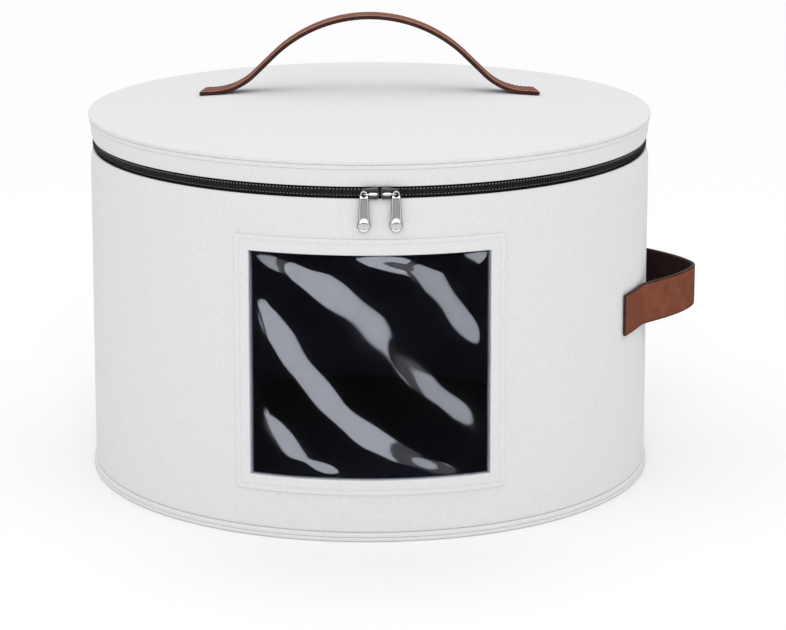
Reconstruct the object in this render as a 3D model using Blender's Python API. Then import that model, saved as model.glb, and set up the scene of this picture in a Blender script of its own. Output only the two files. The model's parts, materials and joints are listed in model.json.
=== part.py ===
"""Round felt hat box with a zipped lid, a clear window, a leather top handle and a side strap.

Units are metres, +Z is up and the front, with the window, faces -Y. The origin is the centre of
the base's underside. The bearing of a point round the box is an angle from the front, positive
towards +X, and every ring has its corners at the same bearings, so that nested rings never cross.
"""

import math

import bmesh
import bpy
from mathutils import Matrix, Vector

# Overall size
WALL_TOP_RADIUS = 0.2145       # outside of the felt wall at the zip
WALL_TAPER = 0.0015            # the wall is this much wider at the base
RIM_RADIUS = 0.2157            # edge of the lid
BASE_RADIUS = 0.2178           # edge of the base
BODY_HEIGHT = 0.279            # floor to the lid's rim
LID_CROWN = 0.012              # rise of the lid's middle above its rim
ZIP_HEIGHT = 0.256             # where the two rows of teeth meet
SEGMENTS = 72                  # corners of a full ring
GAP = 0.0003                   # between pieces that touch
SLACK = 0.0005                 # between a loose board or lining and the wall round it
RIM_FLAT = 0.006               # width of the lid's level edge, outside the dome

# Sheet thicknesses
FELT = 0.003
BOARD = 0.0015
LINING = 0.001
BASE_BOARD = 0.0025
TAPE = 0.0006
FILM = 0.0005

# Depth of each layer's outer face behind the wall's outer face
BOARD_DEPTH = FELT + GAP
LINING_DEPTH = BOARD_DEPTH + BOARD + GAP
TAPE_DEPTH = FELT + GAP
COIL_DEPTH = 0.0015
COIL_THICK = 0.0015
COIL_HALF = 0.00095            # half the height of one row of teeth, and of its flat face
COIL_FLAT_HALF = 0.0005

# Heights
HEM_TALL = 0.003               # the stacked hems at the base and at the lid's rim
WALL_BOTTOM = FELT + HEM_TALL + 2 * GAP
WALL_TOP = ZIP_HEIGHT - 0.0045
BAND_BOTTOM = ZIP_HEIGHT + 0.0042
RIM_UNDERSIDE = BODY_HEIGHT - FELT
BAND_TOP = RIM_UNDERSIDE - HEM_TALL - 2 * GAP
TAPE_REACH = 0.0145            # each zip tape's height
TEETH_GAP = 0.0004             # between the two coils

# Window, as bearings and heights
WINDOW_HALF = math.radians(23.6)
WINDOW_BOTTOM = 0.046
WINDOW_TOP = 0.2112
PATCH_BAND = 0.0115            # width of the felt frame sewn round the window
PATCH_THICK = 0.0012
FILM_MARGIN = 0.0065           # how far the film reaches past the opening, under the frame
CUT_REACH = 0.020              # how far the window's cutter reaches either side of the wall

# Zip ends and the cloth hinge at the back
TAPE_END = math.radians(164)
STOP_BEARING = math.radians(159.5)  # where the teeth end
STOP_PITCH = math.radians(0.9)      # from the last tooth to the middle of the end stop
STOP_HALF = 0.0011
STOP_TOP = ZIP_HEIGHT - 0.0006
STOP_TALL = 0.0026
HINGE_START = math.radians(165)
HINGE_AXIS_Y = WALL_TOP_RADIUS + 0.0003

# Sliders and pullers
SLIDER_BEARINGS = {"left": math.radians(0.03), "right": math.radians(3.73)}
SLIDER_LENGTH = 0.0132
SLIDER_TALL = 0.0088
PLATE_INNER = WALL_TOP_RADIUS - 0.0009
PLATE_THICK = 0.0018
BAIL_REACH = 0.0043
BAIL_BAR = 0.0009
EYE_OFFSET = 0.0043            # from the slider's middle to the bail leg that holds the puller
EYE_RADIUS = 0.0030
EYE_HOLE = 0.0019
EYE_DROP = 0.0007              # the eye's middle hangs this far below the leg
PULLER_LENGTH = 0.0272         # from the leg to the tip
PULLER_THICK = 0.0010
PULLER_END_RADIUS = 0.0047
PULLER_STANDOFF = 0.0022       # from the slider's plate to the middle of the puller's thickness

# Top handle
HANDLE_Y = 0.016
HANDLE_WIDTH = 0.020
HANDLE_THICK = 0.0033
HANDLE_HALF_LENGTH = 0.1295
ARCH_RADIUS = 0.106
FOOT_RADIUS = 0.049
ARCH_STRAIGHT = 0.021          # the straight run between each foot's bend and the arch
ARCH_SLOPE = math.radians(44.2)
ARCH_SPLIT = 0.094             # half the span of the free part
ARCH_FLEX = 0.0027             # the bend between the free part and a foot, left open for the lean

# Side strap
STRAP_HEIGHT = 0.139
STRAP_WIDTH = 0.032
STRAP_THICK = 0.0026
STRAP_END = math.radians(28.5)     # from the +X axis
STRAP_LEAVES_WALL = math.radians(18.5)
STRAP_TIP_X = 0.2540
STRAP_TIP_TURN = math.radians(15)  # between the strap and the Y axis where it meets its crease
STRAP_WALL_PULL = 0.006        # how far the curve keeps the wall's direction, and the crease's
STRAP_CREASE_PULL = 0.040
STRAP_SPLIT_Y = 0.052
STRAP_FLEX = 0.0028            # the bend between the free part and a sewn end, left open for the droop

LEATHER = ("leather", (0.19, 0.065, 0.040), 0.55, 0.0)
WHITE_FELT = ("white_felt", (0.78, 0.78, 0.79), 0.95, 0.0)
DARK_LINING = ("dark_lining", (0.012, 0.014, 0.022), 0.85, 0.0)
GREY_BOARD = ("grey_board", (0.30, 0.29, 0.27), 0.80, 0.0)
BLACK_TAPE = ("black_tape", (0.010, 0.010, 0.011), 0.80, 0.0)
BLACK_COIL = ("black_coil", (0.012, 0.012, 0.014), 0.35, 0.0)
CHROME = ("chrome", (0.78, 0.78, 0.80), 0.18, 1.0)
CLEAR_FILM = ("clear_film", (0.75, 0.78, 0.85), 0.08, 0.0)


def clear_scene():
    for old in list(bpy.data.objects):
        bpy.data.objects.remove(old, do_unlink=True)


def material(look):
    name, colour, roughness, metallic = look
    found = bpy.data.materials.get(name)
    if found:
        return found
    made = bpy.data.materials.new(name)
    made.use_nodes = True
    shader = made.node_tree.nodes["Principled BSDF"]
    shader.inputs["Base Color"].default_value = (*colour, 1.0)
    shader.inputs["Roughness"].default_value = roughness
    shader.inputs["Metallic"].default_value = metallic
    if name == "clear_film":
        shader.inputs["Alpha"].default_value = 0.35
    return made


def add_object(name, bm, look, parent=None):
    """Makes an object from a closed bmesh in world coordinates, and hangs it on its parent empty."""
    bmesh.ops.recalc_face_normals(bm, faces=bm.faces)
    mesh = bpy.data.meshes.new(name)
    bm.to_mesh(mesh)
    bm.free()
    mesh.shade_smooth()
    mesh.set_sharp_from_angle(angle=math.radians(40))
    mesh.materials.append(material(look))
    made = bpy.data.objects.new(name, mesh)
    bpy.context.scene.collection.objects.link(made)
    if parent:
        made.parent = parent
        made.data.transform(parent.matrix_world.inverted())
    return made


def add_axis(name, position, bearing=0.0, parent=None):
    """An empty on a joint's axis, turned to the bearing round the box."""
    empty = bpy.data.objects.new(name, None)
    bpy.context.scene.collection.objects.link(empty)
    world = Matrix.Translation(position) @ Matrix.Rotation(bearing, 4, "Z")
    if parent:
        empty.parent = parent
        world = parent.matrix_world.inverted() @ world
    empty.matrix_basis = world
    bpy.context.view_layer.update()
    return empty


def around(radius, bearing, z):
    """The point at that radius, bearing and height."""
    return Vector((radius * math.sin(bearing), -radius * math.cos(bearing), z))


def wall_radius(z):
    """Outside radius of the felt wall at height z."""
    return WALL_TOP_RADIUS + WALL_TAPER * max(0.0, 1.0 - z / ZIP_HEIGHT)


def behind_wall(depth, z):
    return (wall_radius(z) - depth, z)


def bearings(start, end):
    """The ring's corner bearings from start to end, with both ends."""
    step = 2 * math.pi / SEGMENTS
    inner = [i * step for i in range(-SEGMENTS, 2 * SEGMENTS)]
    return [start] + [a for a in inner if start + 1e-4 < a < end - 1e-4] + [end]


def ring_mesh(profile, start=None, end=None):
    """Turns a closed (radius, height) outline round Z, all the way or from start to end."""
    bm = bmesh.new()
    full = start is None
    if full:
        angles = [2 * math.pi * i / SEGMENTS for i in range(SEGMENTS)]
    else:
        angles = bearings(start, end)
    loops = [[bm.verts.new(around(r, a, z)) for r, z in profile] for a in angles]
    count = len(profile)
    pairs = list(zip(loops, loops[1:] + loops[:1])) if full else list(zip(loops, loops[1:]))
    for one, two in pairs:
        for i in range(count):
            j = (i + 1) % count
            bm.faces.new((one[i], one[j], two[j], two[i]))
    if not full:
        bm.faces.new(loops[0])
        bm.faces.new(loops[-1])
    return bm


def disc_mesh(outline):
    """Turns an open (radius, height) outline, whose first and last points lie on the axis."""
    bm = bmesh.new()
    angles = [2 * math.pi * i / SEGMENTS for i in range(SEGMENTS)]
    first = bm.verts.new((0, 0, outline[0][1]))
    last = bm.verts.new((0, 0, outline[-1][1]))
    loops = [[bm.verts.new(around(r, a, z)) for r, z in outline[1:-1]] for a in angles]
    for one, two in zip(loops, loops[1:] + loops[:1]):
        bm.faces.new((first, one[0], two[0]))
        bm.faces.new((last, two[-1], one[-1]))
        for i in range(len(one) - 1):
            bm.faces.new((one[i], one[i + 1], two[i + 1], two[i]))
    return bm


def layer(depth, thick, bottom, top):
    """Outline of an upright sheet whose outer face lies at that depth behind the wall's."""
    return [behind_wall(depth, bottom), behind_wall(depth, top),
            behind_wall(depth + thick, top), behind_wall(depth + thick, bottom)]


def box_mesh(low, high, frame=Matrix.Identity(4)):
    bm = bmesh.new()
    bmesh.ops.create_cube(bm, size=1.0)
    low, high = Vector(low), Vector(high)
    size = high - low
    bmesh.ops.scale(bm, vec=size, verts=bm.verts)
    bmesh.ops.translate(bm, vec=(low + high) / 2, verts=bm.verts)
    bm.transform(frame)
    return bm


def sweep_mesh(centres, normals, width_axis, width, thick):
    """A flat strap: a rectangle swept along centres, width along width_axis."""
    bm = bmesh.new()
    across = Vector(width_axis) * (width / 2)
    loops = []
    for centre, normal in zip(centres, normals):
        out = normal * (thick / 2)
        corners = (centre + across + out, centre - across + out,
                   centre - across - out, centre + across - out)
        loops.append([bm.verts.new(c) for c in corners])
    for one, two in zip(loops, loops[1:]):
        for i in range(4):
            j = (i + 1) % 4
            bm.faces.new((one[i], one[j], two[j], two[i]))
    bm.faces.new(loops[0])
    bm.faces.new(loops[-1])
    return bm


def cut_with(target, cutter):
    """Takes the cutter's shape out of the target."""
    cutter.hide_render = True
    cutter.display_type = "WIRE"
    boolean = target.modifiers.new("cut", "BOOLEAN")
    boolean.operation = "DIFFERENCE"
    boolean.solver = "EXACT"
    boolean.object = cutter


def window_cutter(name, margin):
    """A curved block through the wall, larger than the window by the margin on each side."""
    half = WINDOW_HALF + margin / WALL_TOP_RADIUS
    inside, outside = WALL_TOP_RADIUS - CUT_REACH, WALL_TOP_RADIUS + CUT_REACH
    profile = [(inside, WINDOW_BOTTOM - margin), (outside, WINDOW_BOTTOM - margin),
               (outside, WINDOW_TOP + margin), (inside, WINDOW_TOP + margin)]
    return add_object(name, ring_mesh(profile, -half, half), WHITE_FELT)


# ---------------------------------------------------------------- box body

def wall_outline():
    """The felt wall, with its top edge rounded inwards to the zip."""
    shoulder = [(0.0, 0.0105), (0.0003, 0.0060), (0.0009, 0.0025), (0.0017, 0.0)]
    outer = [behind_wall(depth, WALL_TOP - drop) for depth, drop in shoulder]
    return ([behind_wall(0.0, WALL_BOTTOM)] + outer
            + [behind_wall(FELT, WALL_TOP), behind_wall(FELT, WALL_BOTTOM)])


def make_wall():
    opening = window_cutter("window_opening_cutter", 0.0)
    rebate = window_cutter("window_rebate_cutter", FILM_MARGIN + 2 * GAP)
    felt = add_object("wall_felt", ring_mesh(wall_outline()), WHITE_FELT)
    cut_with(felt, rebate)
    tape_foot = ZIP_HEIGHT - TAPE_REACH
    board = layer(BOARD_DEPTH, BOARD, WALL_BOTTOM + BOARD, tape_foot - GAP)
    cut_with(add_object("wall_board", ring_mesh(board), GREY_BOARD), opening)
    lining = layer(LINING_DEPTH, LINING, WALL_BOTTOM + FELT, WALL_TOP + 0.001)
    cut_with(add_object("wall_lining", ring_mesh(lining), DARK_LINING), opening)
    patch_half = WINDOW_HALF + PATCH_BAND / WALL_TOP_RADIUS
    patch = layer(-GAP - PATCH_THICK, PATCH_THICK, WINDOW_BOTTOM - PATCH_BAND, WINDOW_TOP + PATCH_BAND)
    frame = add_object("window_frame", ring_mesh(patch, -patch_half, patch_half), WHITE_FELT)
    cut_with(frame, opening)
    film_half = WINDOW_HALF + FILM_MARGIN / WALL_TOP_RADIUS
    film = layer(0.0001, FILM, WINDOW_BOTTOM - FILM_MARGIN, WINDOW_TOP + FILM_MARGIN)
    add_object("window_film", ring_mesh(film, -film_half, film_half), CLEAR_FILM)


def make_base():
    felt = [(0, 0), (BASE_RADIUS - 0.001, 0), (BASE_RADIUS, 0.001), (BASE_RADIUS, FELT - 0.0006),
            (BASE_RADIUS - 0.0006, FELT), (0, FELT)]
    add_object("base_felt", disc_mesh(felt), WHITE_FELT)
    low, high = FELT + GAP, FELT + GAP + HEM_TALL
    hem = [(BASE_RADIUS - 0.0031, low), (BASE_RADIUS - 0.0006, low), (BASE_RADIUS - 0.0002, low + 0.0006),
           (BASE_RADIUS - 0.0002, high - 0.0010), (BASE_RADIUS - 0.0008, high), (BASE_RADIUS - 0.0031, high)]
    add_object("base_hem", ring_mesh(hem), WHITE_FELT)
    board_radius = BASE_RADIUS - 0.0035
    board = [(0, low), (board_radius, low), (board_radius, low + BASE_BOARD), (0, low + BASE_BOARD)]
    add_object("base_board", disc_mesh(board), GREY_BOARD)
    top = low + BASE_BOARD + GAP
    lining_radius = wall_radius(0) - LINING_DEPTH - LINING - SLACK
    lining = [(0, top), (lining_radius, top), (lining_radius, top + LINING), (0, top + LINING)]
    add_object("base_lining", disc_mesh(lining), DARK_LINING)


def coil_outline(middle):
    """One row of zip teeth as a ring: a six-sided section."""
    inner, outer = COIL_DEPTH + COIL_THICK, COIL_DEPTH
    half, flat = COIL_HALF, COIL_FLAT_HALF
    centre = (inner + outer) / 2
    points = [(outer, -flat), (outer, flat), (centre, half),
              (inner, flat), (inner, -flat), (centre, -half)]
    return [(WALL_TOP_RADIUS - depth, middle + rise) for depth, rise in points]


def zip_half(prefix, side, parent=None):
    """A zip tape, its coil and its half of the cloth hinge. side is -1 below the teeth, 1 above."""
    near = ZIP_HEIGHT + side * TEETH_GAP
    far = ZIP_HEIGHT + side * TAPE_REACH
    radius = WALL_TOP_RADIUS - TAPE_DEPTH
    tape = [(radius, min(near, far)), (radius, max(near, far)),
            (radius - TAPE, max(near, far)), (radius - TAPE, min(near, far))]
    add_object(prefix + "_zip_tape", ring_mesh(tape, -TAPE_END, TAPE_END), BLACK_TAPE, parent)
    coil = coil_outline(ZIP_HEIGHT + side * (TEETH_GAP / 2 + COIL_HALF))
    add_object(prefix + "_zip_coil", ring_mesh(coil, -STOP_BEARING, STOP_BEARING), BLACK_COIL, parent)
    add_object(prefix + "_hinge_cloth", ring_mesh(tape, HINGE_START, 2 * math.pi - HINGE_START),
               WHITE_FELT, parent)


def make_zip_stops():
    """A metal staple past the last tooth on each side."""
    outer, inner = WALL_TOP_RADIUS - COIL_DEPTH, WALL_TOP_RADIUS - TAPE_DEPTH + GAP
    for side, sign in (("left", -1), ("right", 1)):
        turn = Matrix.Rotation(sign * (STOP_BEARING + STOP_PITCH), 4, "Z")
        stop = box_mesh((-STOP_HALF, -outer, STOP_TOP - STOP_TALL), (STOP_HALF, -inner, STOP_TOP), turn)
        add_object("zip_stop_" + side, stop, CHROME)


# ---------------------------------------------------------------- lid

def lid_height(radius):
    """Height of the lid's outer face: a low dome inside a flat rim."""
    dome = RIM_RADIUS - RIM_FLAT
    if radius >= dome:
        return BODY_HEIGHT
    return BODY_HEIGHT + LID_CROWN * (1.0 - (radius / dome) ** 2)


def dome_outline(drop, thick, edge, steps):
    """A domed sheet whose top lies at that drop under the lid's outer face."""
    radii = [edge * i / steps for i in range(steps + 1)]
    under = [(r, lid_height(r) - drop - thick) for r in radii]
    over = [(r, lid_height(r) - drop) for r in reversed(radii)]
    return under + over


def make_lid(hinge):
    felt = dome_outline(0.0, FELT, RIM_RADIUS - RIM_FLAT, 5)
    rim = [(RIM_RADIUS - 0.0008, RIM_UNDERSIDE), (RIM_RADIUS, RIM_UNDERSIDE + 0.0007),
           (RIM_RADIUS, BODY_HEIGHT - 0.0010), (RIM_RADIUS - 0.0010, BODY_HEIGHT)]
    middle = len(felt) // 2
    add_object("lid_felt", disc_mesh(felt[:middle] + rim + felt[middle:]), WHITE_FELT, hinge)
    inner_edge = WALL_TOP_RADIUS - TAPE_DEPTH - TAPE - GAP - LINING - GAP - SLACK
    board = dome_outline(FELT + GAP, BOARD, inner_edge, 3)
    add_object("lid_board", disc_mesh(board), GREY_BOARD, hinge)
    lining = dome_outline(FELT + BOARD + 2 * GAP, LINING, inner_edge, 3)
    add_object("lid_lining", disc_mesh(lining), DARK_LINING, hinge)
    low, high = BAND_TOP + GAP, RIM_UNDERSIDE - GAP
    hem = [(RIM_RADIUS - 0.0036, low), (RIM_RADIUS - 0.0008, low), (RIM_RADIUS - 0.0003, low + 0.0007),
           (RIM_RADIUS - 0.0003, high - 0.0005), (RIM_RADIUS - 0.0008, high), (RIM_RADIUS - 0.0036, high)]
    add_object("lid_hem", ring_mesh(hem), WHITE_FELT, hinge)
    inner = WALL_TOP_RADIUS - TAPE_DEPTH + GAP
    band = [(inner, BAND_BOTTOM), (WALL_TOP_RADIUS - 0.0017, BAND_BOTTOM),
            (WALL_TOP_RADIUS - 0.0008, BAND_BOTTOM + 0.0028), (WALL_TOP_RADIUS - 0.0003, BAND_BOTTOM + 0.007),
            (WALL_TOP_RADIUS - 0.0001, BAND_TOP), (inner, BAND_TOP)]
    add_object("lid_band", ring_mesh(band), WHITE_FELT, hinge)
    outer = WALL_TOP_RADIUS - TAPE_DEPTH - TAPE - GAP
    band_lining = [(outer, ZIP_HEIGHT + 0.003), (outer, BAND_TOP), (outer - LINING, BAND_TOP),
                   (outer - LINING, ZIP_HEIGHT + 0.003)]
    add_object("lid_band_lining", ring_mesh(band_lining), DARK_LINING, hinge)


# ---------------------------------------------------------------- top handle

def handle_span():
    """Half the distance between the two places where the handle lifts off the lid."""
    return (ARCH_RADIUS + FOOT_RADIUS) * math.sin(ARCH_SLOPE) + ARCH_STRAIGHT * math.cos(ARCH_SLOPE)


def handle_seat(x):
    """Height of the handle's middle layer where it would lie on the dome, level between the feet."""
    reach = max(abs(x), handle_span())
    return lid_height(math.hypot(reach, HANDLE_Y - HANDLE_WIDTH / 2)) + GAP + HANDLE_THICK / 2


def handle_height(x):
    """Height of the middle of the handle's thickness at x: feet, bends, straight runs and an arch."""
    bend = FOOT_RADIUS * math.sin(ARCH_SLOPE)
    bend_rise = FOOT_RADIUS * (1 - math.cos(ARCH_SLOPE))
    away = handle_span() - abs(x)
    if away <= 0:
        return handle_seat(x)
    if away <= bend:
        return handle_seat(x) + FOOT_RADIUS - math.sqrt(FOOT_RADIUS ** 2 - away ** 2)
    if away <= bend + ARCH_STRAIGHT * math.cos(ARCH_SLOPE):
        return handle_seat(x) + bend_rise + (away - bend) * math.tan(ARCH_SLOPE)
    rise = bend_rise + ARCH_STRAIGHT * math.sin(ARCH_SLOPE) + ARCH_RADIUS * (1 - math.cos(ARCH_SLOPE))
    return handle_seat(x) + rise - ARCH_RADIUS + math.sqrt(ARCH_RADIUS ** 2 - x ** 2)


def handle_point(x):
    """Middle of the handle's thickness at x, and the normal of its upper face."""
    step = 0.0005
    slope = math.atan((handle_height(x + step) - handle_height(x - step)) / (2 * step))
    return Vector((x, HANDLE_Y, handle_height(x))), Vector((-math.sin(slope), 0, math.cos(slope)))


def handle_piece(name, start, end, count, parent):
    stations = [handle_point(start + (end - start) * i / count) for i in range(count + 1)]
    centres, normals = zip(*stations)
    add_object(name, sweep_mesh(centres, normals, (0, 1, 0), HANDLE_WIDTH, HANDLE_THICK), LEATHER, parent)


def make_handle(hinge):
    axis = add_axis("handle_axis", (0, HANDLE_Y, handle_seat(0)), 0.0, hinge)
    handle_piece("top_handle_arch", -ARCH_SPLIT, ARCH_SPLIT, 28, axis)
    for side, sign in (("left", -1), ("right", 1)):
        start, end = sorted((sign * (ARCH_SPLIT + ARCH_FLEX), sign * HANDLE_HALF_LENGTH))
        handle_piece("handle_foot_" + side, start, end, 8, hinge)


# ---------------------------------------------------------------- side strap

def strap_path(count):
    """Middle of the strap's thickness from one sewn end to the tip, as seen from above."""
    wall = wall_radius(STRAP_HEIGHT - STRAP_WIDTH / 2) + GAP + STRAP_THICK / 2
    on_wall = [STRAP_END + (STRAP_LEAVES_WALL - STRAP_END) * i / 3 for i in range(4)]
    points = [Vector((wall * math.cos(a), wall * math.sin(a), 0)) for a in on_wall]
    leaves, tip = points[-1], Vector((STRAP_TIP_X, 0, 0))
    away = Vector((math.sin(STRAP_LEAVES_WALL), -math.cos(STRAP_LEAVES_WALL), 0))
    near = leaves + away * STRAP_WALL_PULL
    into_tip = Vector((math.sin(STRAP_TIP_TURN), -math.cos(STRAP_TIP_TURN), 0))
    far = tip - into_tip * STRAP_CREASE_PULL
    for i in range(1, count + 1):
        t = i / count
        points.append((1 - t) ** 3 * leaves + 3 * t * (1 - t) ** 2 * near
                      + 3 * t * t * (1 - t) * far + t ** 3 * tip)
    return points


def strap_piece(name, points, parent=None):
    """A strap standing on edge along the points, with mitred normals."""
    normals = []
    for i, here in enumerate(points):
        before, after = points[max(i - 1, 0)], points[min(i + 1, len(points) - 1)]
        along = (after - before).normalized()
        out = Vector((-along.y, along.x, 0))
        half_turn = 1.0
        if 0 < i < len(points) - 1:
            one, two = (here - before).normalized(), (after - here).normalized()
            half_turn = math.cos(one.angle(two) / 2)
        normals.append(out / half_turn)
    lifted = [p + Vector((0, 0, STRAP_HEIGHT)) for p in points]
    add_object(name, sweep_mesh(lifted, normals, (0, 0, 1), STRAP_WIDTH, STRAP_THICK), LEATHER, parent)


def make_side_strap():
    half = strap_path(12)
    near = [p for p in half if p.y > STRAP_SPLIT_Y]
    free = [p for p in half if p.y < STRAP_SPLIT_Y - STRAP_FLEX]
    mirror = Matrix.Diagonal((1, -1, 1))
    strap_piece("side_strap_root_rear", near)
    strap_piece("side_strap_root_front", [mirror @ p for p in reversed(near)])
    axis_x = near[-1].x
    axis = add_axis("side_strap_axis", (axis_x, 0, STRAP_HEIGHT))
    first = near[-1] + (free[0] - near[-1]).normalized() * STRAP_FLEX
    free = [first] + free
    strap_piece("side_strap_loop", free + [mirror @ p for p in reversed(free[:-1])], axis)


# ---------------------------------------------------------------- sliders and pullers

def make_slider(side):
    """A slider on the teeth: a face plate with a lip under the lower coil, its bail and its puller."""
    bearing = SLIDER_BEARINGS[side]
    outward = -1 if side == "left" else 1
    turn = Matrix.Rotation(bearing, 4, "Z")
    axis = add_axis("slider_axis_" + side, (0, 0, ZIP_HEIGHT), bearing)
    front = -(PLATE_INNER + PLATE_THICK)
    plate = box_mesh((-SLIDER_LENGTH / 2, front, ZIP_HEIGHT - SLIDER_TALL / 2),
                     (SLIDER_LENGTH / 2, -PLATE_INNER, ZIP_HEIGHT + SLIDER_TALL / 2))
    edges = [e for e in plate.edges if all(v.co.y < front + 1e-6 for v in e.verts)]
    bmesh.ops.bevel(plate, geom=edges, offset=0.0007, segments=2, profile=0.5, affect="EDGES")
    plate.transform(turn)
    add_object("slider_body_" + side, plate, CHROME, axis)
    add_object("slider_bail_" + side, bail_mesh(front, turn), CHROME, axis)
    eye_x = outward * EYE_OFFSET
    eye_y = front - PULLER_STANDOFF
    pivot = turn @ Vector((eye_x, eye_y, ZIP_HEIGHT))
    lift = add_axis("puller_axis_" + side, pivot, bearing, axis)
    puller = puller_mesh()
    puller.transform(lift.matrix_world)
    tab = add_object("puller_" + side, puller, CHROME, lift)
    eye = eye_cutter("eye_cutter_" + side, lift)
    cut_with(tab, eye)


def bail_mesh(front, turn):
    """A square bar bridging the plate lengthwise, with a leg at each end."""
    bm = bmesh.new()
    half = EYE_OFFSET + BAIL_BAR / 2
    foot, top = front - GAP, front - BAIL_REACH
    outline = [(-half, foot), (-half, top), (half, top), (half, foot),
               (half - BAIL_BAR, foot), (half - BAIL_BAR, top + BAIL_BAR),
               (-half + BAIL_BAR, top + BAIL_BAR), (-half + BAIL_BAR, foot)]
    verts = [bm.verts.new((x, y, ZIP_HEIGHT - BAIL_BAR / 2)) for x, y in outline]
    bm.faces.new(verts)
    grown = bmesh.ops.extrude_face_region(bm, geom=list(bm.faces))
    moved = [g for g in grown["geom"] if isinstance(g, bmesh.types.BMVert)]
    bmesh.ops.translate(bm, vec=(0, 0, BAIL_BAR), verts=moved)
    bm.transform(turn)
    return bm


def puller_mesh():
    """A flat tab hanging from its eye, with a wider round end, about its pivot."""
    bm = bmesh.new()
    outline = []
    steps = 10
    eye_span = math.radians(115)
    for i in range(steps + 1):
        a = -eye_span + 2 * eye_span * i / steps
        outline.append((EYE_RADIUS * math.sin(a), EYE_RADIUS * math.cos(a) - EYE_DROP))
    end_z = -(PULLER_LENGTH - PULLER_END_RADIUS)
    for i in range(steps + 1):
        a = math.radians(80) + math.radians(200) * i / steps
        outline.append((PULLER_END_RADIUS * math.sin(a), end_z + PULLER_END_RADIUS * math.cos(a)))
    verts = [bm.verts.new((x, -PULLER_THICK / 2, z)) for x, z in outline]
    bm.faces.new(verts)
    grown = bmesh.ops.extrude_face_region(bm, geom=list(bm.faces))
    moved = [g for g in grown["geom"] if isinstance(g, bmesh.types.BMVert)]
    bmesh.ops.translate(bm, vec=(0, PULLER_THICK, 0), verts=moved)
    return bm


def eye_cutter(name, parent):
    bm = bmesh.new()
    bmesh.ops.create_cone(bm, cap_ends=True, segments=16, radius1=EYE_HOLE, radius2=EYE_HOLE, depth=0.01)
    bm.transform(Matrix.Translation((0, 0, -EYE_DROP)) @ Matrix.Rotation(math.radians(90), 4, "X"))
    bm.transform(parent.matrix_world)
    return add_object(name, bm, CHROME, parent)


def build():
    clear_scene()
    make_wall()
    make_base()
    zip_half("lower", -1)
    make_zip_stops()
    make_side_strap()
    lid_hinge = add_axis("lid_hinge", (0, HINGE_AXIS_Y, ZIP_HEIGHT))
    make_lid(lid_hinge)
    zip_half("upper", 1, lid_hinge)
    make_handle(lid_hinge)
    for side in SLIDER_BEARINGS:
        make_slider(side)


build()
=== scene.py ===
"""Looks of a round felt hat box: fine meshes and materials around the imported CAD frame.

Units are metres in the row frame: +Z is up and the window faces -Y. The bearing of a point round
the box is its angle from the front, positive towards +X.
"""

import json
import math

import bmesh
import bpy
import numpy as np
from mathutils import Matrix, Vector, noise

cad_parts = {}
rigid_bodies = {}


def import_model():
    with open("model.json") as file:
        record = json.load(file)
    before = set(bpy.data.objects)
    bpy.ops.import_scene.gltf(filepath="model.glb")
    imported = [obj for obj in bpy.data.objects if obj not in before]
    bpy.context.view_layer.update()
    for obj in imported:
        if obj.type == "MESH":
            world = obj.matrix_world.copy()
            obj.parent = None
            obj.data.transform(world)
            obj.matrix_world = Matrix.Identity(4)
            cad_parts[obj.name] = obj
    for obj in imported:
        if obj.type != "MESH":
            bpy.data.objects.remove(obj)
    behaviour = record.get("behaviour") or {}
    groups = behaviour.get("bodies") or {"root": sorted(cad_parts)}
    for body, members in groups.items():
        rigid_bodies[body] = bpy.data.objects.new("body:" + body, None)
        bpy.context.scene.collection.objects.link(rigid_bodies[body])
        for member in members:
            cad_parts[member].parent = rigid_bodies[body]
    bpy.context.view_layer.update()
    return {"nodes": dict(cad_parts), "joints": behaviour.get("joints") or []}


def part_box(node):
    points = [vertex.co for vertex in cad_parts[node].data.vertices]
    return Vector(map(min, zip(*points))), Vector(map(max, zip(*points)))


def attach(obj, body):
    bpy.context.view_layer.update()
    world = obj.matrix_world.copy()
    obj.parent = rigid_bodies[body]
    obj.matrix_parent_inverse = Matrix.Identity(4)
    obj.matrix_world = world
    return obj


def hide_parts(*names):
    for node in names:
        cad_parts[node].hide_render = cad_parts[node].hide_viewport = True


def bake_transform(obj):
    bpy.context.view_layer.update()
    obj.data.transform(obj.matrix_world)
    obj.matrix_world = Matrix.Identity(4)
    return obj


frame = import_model()

BOX, LID = "box", "lid"
GAP = 0.0003                   # between pieces that touch, as in the CAD
FULL_TURN = 2 * math.pi
RING_STEPS = 288               # corners of a fine ring


def joint_at(name):
    """Where a joint's axis passes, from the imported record."""
    return Vector(next(j for j in frame["joints"] if j["name"] == name)["pos_m"])


def low(node):
    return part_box(node)[0]


def high(node):
    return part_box(node)[1]


# Sizes that the CAD nodes give
HINGE = joint_at("lid_hinge")
ZIP_HEIGHT = HINGE.z
BASE_RADIUS = high("base_felt").x
RIM_RADIUS = high("lid_felt").x
WALL_TOP_RADIUS = high("lid_band").x + 0.0001
WALL_BOTTOM, WALL_TOP = low("wall_felt").z, high("wall_felt").z
FELT = high("base_felt").z
BODY_HEIGHT = high("lid_hem").z + GAP + FELT
LID_TOP = high("lid_felt").z
LID_FLAT = RIM_RADIUS - 0.006  # the dome ends here and the flat rim begins
BAND_BOTTOM, BAND_TOP = low("lid_band").z, high("lid_band").z
WALL_TAPER = (high("wall_felt").x - WALL_TOP_RADIUS) / (1 - WALL_BOTTOM / ZIP_HEIGHT)

# Depths behind the wall's outer face
FILM_DEPTH = 0.0001
FILM_THICK = 0.0005
BOARD_DEPTH = FELT + GAP
LINING_DEPTH = 0.0051
LINING = 0.001
TAPE = 0.0006

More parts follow.
